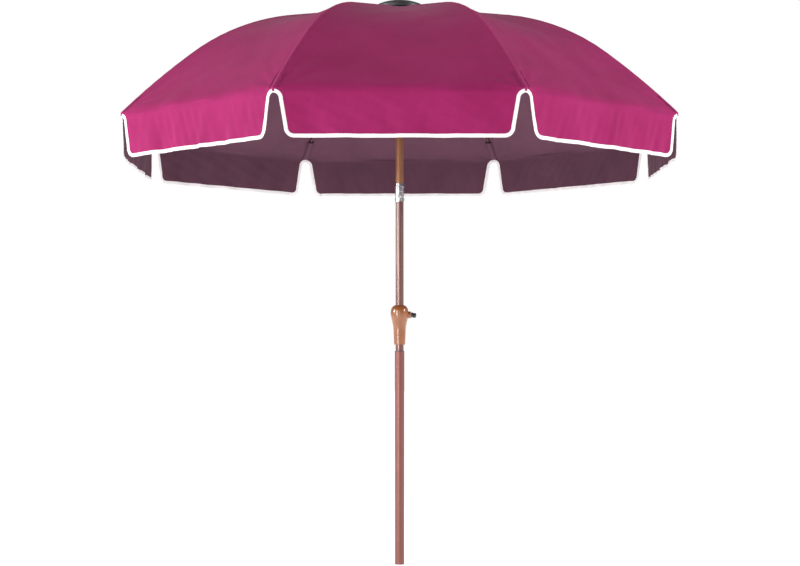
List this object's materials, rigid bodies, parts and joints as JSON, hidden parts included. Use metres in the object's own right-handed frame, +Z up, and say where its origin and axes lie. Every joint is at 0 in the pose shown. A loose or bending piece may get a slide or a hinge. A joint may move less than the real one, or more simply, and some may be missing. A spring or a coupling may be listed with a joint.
{
  "type": "patio umbrella",
  "caption": "Garden parasol with an octagonal valanced canopy on folding ribs, a plug-in pole, a crank lift and a push-button tilt joint.",
  "frame": {"origin": "centre of the pole's lower end, where the pole stands in its base", "axes": "+Z up along the pole; a flat canopy panel faces -Y; the crank is on the +X side"},
  "size_m": [2.1064, 2.1064, 2.3072],
  "materials": {
    "pole_metal": "warm bronze painted steel tube, satin",
    "housing": "tan-bronze moulded plastic, satin",
    "chrome": "polished chrome",
    "black_plastic": "black moulded plastic",
    "fabric": "woven raspberry polyester with white bound edges",
    "rib_metal": "painted steel tube, satin",
    "steel": "zinc-plated steel",
    "sleeve_plastic": "dark moulded plastic",
    "bush_metal": "sintered bronze"
  },
  "bodies": {
    "lower_pole": {"lower_pole": "pole_metal", "foot_plug": "sleeve_plastic", "pole_sleeve": "sleeve_plastic"},
    "mast": {"mid_pole": "pole_metal", "tilt_lower_knuckle": "chrome", "tilt_pin": "steel", "button_spring": "steel", "crank_housing_front": "housing", "crank_housing_rear": "housing", "housing_screws": "steel", "shaft_bushes": "bush_metal", "brake_drum": "steel"},
    "crank": {"crank_shaft": "steel", "cord_spool": "sleeve_plastic", "brake_spring": "steel", "crank_arm": "black_plastic", "knob_pin": "steel"},
    "knob": {"crank_knob": "black_plastic"},
    "button": {"tilt_button": "chrome"},
    "head": {"tilt_upper_knuckle": "chrome", "upper_pole": "pole_metal", "hub": "black_plastic", "hub_pins": "steel", "pulley_pin": "steel", "crown_cap": "black_plastic", "finial": "pole_metal"},
    "pulley": {"cord_pulley": "black_plastic"},
    "runner": {"runner": "black_plastic"},
    "rib_1": {"rib_1": "rib_metal"},
    "strut_1": {"strut_1": "rib_metal"},
    "canopy_1_left": {"canopy_1_left": "fabric"},
    "canopy_1_right": {"canopy_1_right": "fabric"},
    "rib_2": {"rib_2": "rib_metal"},
    "strut_2": {"strut_2": "rib_metal"},
    "canopy_2_left": {"canopy_2_left": "fabric"},
    "canopy_2_right": {"canopy_2_right": "fabric"},
    "rib_3": {"rib_3": "rib_metal"},
    "strut_3": {"strut_3": "rib_metal"},
    "canopy_3_left": {"canopy_3_left": "fabric"},
    "canopy_3_right": {"canopy_3_right": "fabric"},
    "rib_4": {"rib_4": "rib_metal"},
    "strut_4": {"strut_4": "rib_metal"},
    "canopy_4_left": {"canopy_4_left": "fabric"},
    "canopy_4_right": {"canopy_4_right": "fabric"},
    "rib_5": {"rib_5": "rib_metal"},
    "strut_5": {"strut_5": "rib_metal"},
    "canopy_5_left": {"canopy_5_left": "fabric"},
    "canopy_5_right": {"canopy_5_right": "fabric"},
    "rib_6": {"rib_6": "rib_metal"},
    "strut_6": {"strut_6": "rib_metal"},
    "canopy_6_left": {"canopy_6_left": "fabric"},
    "canopy_6_right": {"canopy_6_right": "fabric"},
    "rib_7": {"rib_7": "rib_metal"},
    "strut_7": {"strut_7": "rib_metal"},
    "canopy_7_left": {"canopy_7_left": "fabric"},
    "canopy_7_right": {"canopy_7_right": "fabric"},
    "rib_8": {"rib_8": "rib_metal"},
    "strut_8": {"strut_8": "rib_metal"},
    "canopy_8_left": {"canopy_8_left": "fabric"},
    "canopy_8_right": {"canopy_8_right": "fabric"}
  },
  "joints": [
    {"name": "pole_turn", "type": "hinge", "parent": "lower_pole", "child": "mast", "pos_m": [0, 0, 0.7455], "axis": [0, 0, 1], "continuous": true},
    {"name": "tilt", "type": "hinge", "parent": "mast", "child": "head", "pos_m": [0, 0, 1.487], "axis": [0, 1, 0], "range_deg": [-35, 0]},
    {"name": "tilt_button_press", "type": "slide", "parent": "mast", "child": "button", "axis": [0, 1, 0], "range_m": [0, 0.004], "stiffness_N_per_m": 900, "springref_m": -0.003, "deforming": ["button_spring"]},
    {"name": "runner_slide", "type": "slide", "parent": "head", "child": "runner", "axis": [0, 0, -1], "range_m": [0, 0.32115], "deforming": ["canopy_1_left", "canopy_1_right", "canopy_2_left", "canopy_2_right", "canopy_3_left", "canopy_3_right", "canopy_4_left", "canopy_4_right", "canopy_5_left", "canopy_5_right", "canopy_6_left", "canopy_6_right", "canopy_7_left", "canopy_7_right", "canopy_8_left", "canopy_8_right"]},
    {"name": "crank_turn", "type": "hinge", "parent": "mast", "child": "crank", "pos_m": [0, 0, 0.992], "axis": [1, 0, 0], "range_deg": [0, 2045.5]},
    {"name": "knob_spin", "type": "hinge", "parent": "crank", "child": "knob", "pos_m": [0.0531, 0.062, 0.992], "axis": [1, 0, 0], "continuous": true},
    {"name": "pulley_turn", "type": "hinge", "parent": "head", "child": "pulley", "pos_m": [0.008, 0, 2.16], "axis": [0, 1, 0], "range_deg": [0, 2165.8]},
    {"name": "rib_1_fold", "type": "hinge", "parent": "head", "child": "rib_1", "pos_m": [0.0388, 0.01607, 2.223], "axis": [-0.3827, 0.9239, 0], "range_deg": [0, 64.1]},
    {"name": "strut_1_fold", "type": "hinge", "parent": "rib_1", "child": "strut_1", "pos_m": [0.29237, 0.1211, 2.16531], "axis": [0.3827, -0.9239, 0], "range_deg": [0, 98.72]},
    {"name": "canopy_1_left_fold", "type": "hinge", "parent": "rib_1", "child": "canopy_1_left", "pos_m": [0.04446, 0.01842, 2.25098], "axis": [0.8441, 0.3497, -0.4064], "range_deg": [0, 64.1]},
    {"name": "canopy_1_right_fold", "type": "hinge", "parent": "rib_1", "child": "canopy_1_right", "pos_m": [0.04446, 0.01842, 2.25098], "axis": [-0.8441, -0.3497, 0.4064], "range_deg": [0, 64.1]},
    {"name": "rib_2_fold", "type": "hinge", "parent": "head", "child": "rib_2", "pos_m": [0.01607, 0.0388, 2.223], "axis": [-0.9239, 0.3827, 0], "range_deg": [0, 64.1]},
    {"name": "strut_2_fold", "type": "hinge", "parent": "rib_2", "child": "strut_2", "pos_m": [0.1211, 0.29237, 2.16531], "axis": [0.9239, -0.3827, 0], "range_deg": [0, 98.72]},
    {"name": "canopy_2_left_fold", "type": "hinge", "parent": "rib_2", "child": "canopy_2_left", "pos_m": [0.01842, 0.04446, 2.25098], "axis": [0.3497, 0.8441, -0.4064], "range_deg": [0, 64.1]},
    {"name": "canopy_2_right_fold", "type": "hinge", "parent": "rib_2", "child": "canopy_2_right", "pos_m": [0.01842, 0.04446, 2.25098], "axis": [-0.3497, -0.8441, 0.4064], "range_deg": [0, 64.1]},
    {"name": "rib_3_fold", "type": "hinge", "parent": "head", "child": "rib_3", "pos_m": [-0.01607, 0.0388, 2.223], "axis": [-0.9239, -0.3827, 0], "range_deg": [0, 64.1]},
    {"name": "strut_3_fold", "type": "hinge", "parent": "rib_3", "child": "strut_3", "pos_m": [-0.1211, 0.29237, 2.16531], "axis": [0.9239, 0.3827, 0], "range_deg": [0, 98.72]},
    {"name": "canopy_3_left_fold", "type": "hinge", "parent": "rib_3", "child": "canopy_3_left", "pos_m": [-0.01842, 0.04446, 2.25098], "axis": [-0.3497, 0.8441, -0.4064], "range_deg": [0, 64.1]},
    {"name": "canopy_3_right_fold", "type": "hinge", "parent": "rib_3", "child": "canopy_3_right", "pos_m": [-0.01842, 0.04446, 2.25098], "axis": [0.3497, -0.8441, 0.4064], "range_deg": [0, 64.1]},
    {"name": "rib_4_fold", "type": "hinge", "parent": "head", "child": "rib_4", "pos_m": [-0.0388, 0.01607, 2.223], "axis": [-0.3827, -0.9239, 0], "range_deg": [0, 64.1]},
    {"name": "strut_4_fold", "type": "hinge", "parent": "rib_4", "child": "strut_4", "pos_m": [-0.29237, 0.1211, 2.16531], "axis": [0.3827, 0.9239, 0], "range_deg": [0, 98.72]},
    {"name": "canopy_4_left_fold", "type": "hinge", "parent": "rib_4", "child": "canopy_4_left", "pos_m": [-0.04446, 0.01842, 2.25098], "axis": [-0.8441, 0.3497, -0.4064], "range_deg": [0, 64.1]},
    {"name": "canopy_4_right_fold", "type": "hinge", "parent": "rib_4", "child": "canopy_4_right", "pos_m": [-0.04446, 0.01842, 2.25098], "axis": [0.8441, -0.3497, 0.4064], "range_deg": [0, 64.1]},
    {"name": "rib_5_fold", "type": "hinge", "parent": "head", "child": "rib_5", "pos_m": [-0.0388, -0.01607, 2.223], "axis": [0.3827, -0.9239, 0], "range_deg": [0, 64.1]},
    {"name": "strut_5_fold", "type": "hinge", "parent": "rib_5", "child": "strut_5", "pos_m": [-0.29237, -0.1211, 2.16531], "axis": [-0.3827, 0.9239, 0], "range_deg": [0, 98.72]},
    {"name": "canopy_5_left_fold", "type": "hinge", "parent": "rib_5", "child": "canopy_5_left", "pos_m": [-0.04446, -0.01842, 2.25098], "axis": [-0.8441, -0.3497, -0.4064], "range_deg": [0, 64.1]},
    {"name": "canopy_5_right_fold", "type": "hinge", "parent": "rib_5", "child": "canopy_5_right", "pos_m": [-0.04446, -0.01842, 2.25098], "axis": [0.8441, 0.3497, 0.4064], "range_deg": [0, 64.1]},
    {"name": "rib_6_fold", "type": "hinge", "parent": "head", "child": "rib_6", "pos_m": [-0.01607, -0.0388, 2.223], "axis": [0.9239, -0.3827, 0], "range_deg": [0, 64.1]},
    {"name": "strut_6_fold", "type": "hinge", "parent": "rib_6", "child": "strut_6", "pos_m": [-0.1211, -0.29237, 2.16531], "axis": [-0.9239, 0.3827, 0], "range_deg": [0, 98.72]},
    {"name": "canopy_6_left_fold", "type": "hinge", "parent": "rib_6", "child": "canopy_6_left", "pos_m": [-0.01842, -0.04446, 2.25098], "axis": [-0.3497, -0.8441, -0.4064], "range_deg": [0, 64.1]},
    {"name": "canopy_6_right_fold", "type": "hinge", "parent": "rib_6", "child": "canopy_6_right", "pos_m": [-0.01842, -0.04446, 2.25098], "axis": [0.3497, 0.8441, 0.4064], "range_deg": [0, 64.1]},
    {"name": "rib_7_fold", "type": "hinge", "parent": "head", "child": "rib_7", "pos_m": [0.01607, -0.0388, 2.223], "axis": [0.9239, 0.3827, 0], "range_deg": [0, 64.1]},
    {"name": "strut_7_fold", "type": "hinge", "parent": "rib_7", "child": "strut_7", "pos_m": [0.1211, -0.29237, 2.16531], "axis": [-0.9239, -0.3827, 0], "range_deg": [0, 98.72]},
    {"name": "canopy_7_left_fold", "type": "hinge", "parent": "rib_7", "child": "canopy_7_left", "pos_m": [0.01842, -0.04446, 2.25098], "axis": [0.3497, -0.8441, -0.4064], "range_deg": [0, 64.1]},
    {"name": "canopy_7_right_fold", "type": "hinge", "parent": "rib_7", "child": "canopy_7_right", "pos_m": [0.01842, -0.04446, 2.25098], "axis": [-0.3497, 0.8441, 0.4064], "range_deg": [0, 64.1]},
    {"name": "rib_8_fold", "type": "hinge", "parent": "head", "child": "rib_8", "pos_m": [0.0388, -0.01607, 2.223], "axis": [0.3827, 0.9239, 0], "range_deg": [0, 64.1]},
    {"name": "strut_8_fold", "type": "hinge", "parent": "rib_8", "child": "strut_8", "pos_m": [0.29237, -0.1211, 2.16531], "axis": [-0.3827, -0.9239, 0], "range_deg": [0, 98.72]},
    {"name": "canopy_8_left_fold", "type": "hinge", "parent": "rib_8", "child": "canopy_8_left", "pos_m": [0.04446, -0.01842, 2.25098], "axis": [0.8441, -0.3497, -0.4064], "range_deg": [0, 64.1]},
    {"name": "canopy_8_right_fold", "type": "hinge", "parent": "rib_8", "child": "canopy_8_right", "pos_m": [0.04446, -0.01842, 2.25098], "axis": [-0.8441, 0.3497, 0.4064], "range_deg": [0, 64.1]}
  ],
  "couplings": [
    {"joint": "crank_turn", "follows": "runner_slide", "rad_per_m": 111.11},
    {"joint": "pulley_turn", "follows": "runner_slide", "rad_per_m": 117.65},
    {"joint": "rib_1_fold", "follows": "runner_slide", "rad_per_m": 3.4782},
    {"joint": "strut_1_fold", "follows": "runner_slide", "rad_per_m": 5.3595},
    {"joint": "canopy_1_left_fold", "follows": "runner_slide", "rad_per_m": 3.4782},
    {"joint": "canopy_1_right_fold", "follows": "runner_slide", "rad_per_m": 3.4782},
    {"joint": "rib_2_fold", "follows": "runner_slide", "rad_per_m": 3.4782},
    {"joint": "strut_2_fold", "follows": "runner_slide", "rad_per_m": 5.3595},
    {"joint": "canopy_2_left_fold", "follows": "runner_slide", "rad_per_m": 3.4782},
    {"joint": "canopy_2_right_fold", "follows": "runner_slide", "rad_per_m": 3.4782},
    {"joint": "rib_3_fold", "follows": "runner_slide", "rad_per_m": 3.4782},
    {"joint": "strut_3_fold", "follows": "runner_slide", "rad_per_m": 5.3595},
    {"joint": "canopy_3_left_fold", "follows": "runner_slide", "rad_per_m": 3.4782},
    {"joint": "canopy_3_right_fold", "follows": "runner_slide", "rad_per_m": 3.4782},
    {"joint": "rib_4_fold", "follows": "runner_slide", "rad_per_m": 3.4782},
    {"joint": "strut_4_fold", "follows": "runner_slide", "rad_per_m": 5.3595},
    {"joint": "canopy_4_left_fold", "follows": "runner_slide", "rad_per_m": 3.4782},
    {"joint": "canopy_4_right_fold", "follows": "runner_slide", "rad_per_m": 3.4782},
    {"joint": "rib_5_fold", "follows": "runner_slide", "rad_per_m": 3.4782},
    {"joint": "strut_5_fold", "follows": "runner_slide", "rad_per_m": 5.3595},
    {"joint": "canopy_5_left_fold", "follows": "runner_slide", "rad_per_m": 3.4782},
    {"joint": "canopy_5_right_fold", "follows": "runner_slide", "rad_per_m": 3.4782},
    {"joint": "rib_6_fold", "follows": "runner_slide", "rad_per_m": 3.4782},
    {"joint": "strut_6_fold", "follows": "runner_slide", "rad_per_m": 5.3595},
    {"joint": "canopy_6_left_fold", "follows": "runner_slide", "rad_per_m": 3.4782},
    {"joint": "canopy_6_right_fold", "follows": "runner_slide", "rad_per_m": 3.4782},
    {"joint": "rib_7_fold", "follows": "runner_slide", "rad_per_m": 3.4782},
    {"joint": "strut_7_fold", "follows": "runner_slide", "rad_per_m": 5.3595},
    {"joint": "canopy_7_left_fold", "follows": "runner_slide", "rad_per_m": 3.4782},
    {"joint": "canopy_7_right_fold", "follows": "runner_slide", "rad_per_m": 3.4782},
    {"joint": "rib_8_fold", "follows": "runner_slide", "rad_per_m": 3.4782},
    {"joint": "strut_8_fold", "follows": "runner_slide", "rad_per_m": 5.3595},
    {"joint": "canopy_8_left_fold", "follows": "runner_slide", "rad_per_m": 3.4782},
    {"joint": "canopy_8_right_fold", "follows": "runner_slide", "rad_per_m": 3.4782}
  ]
}
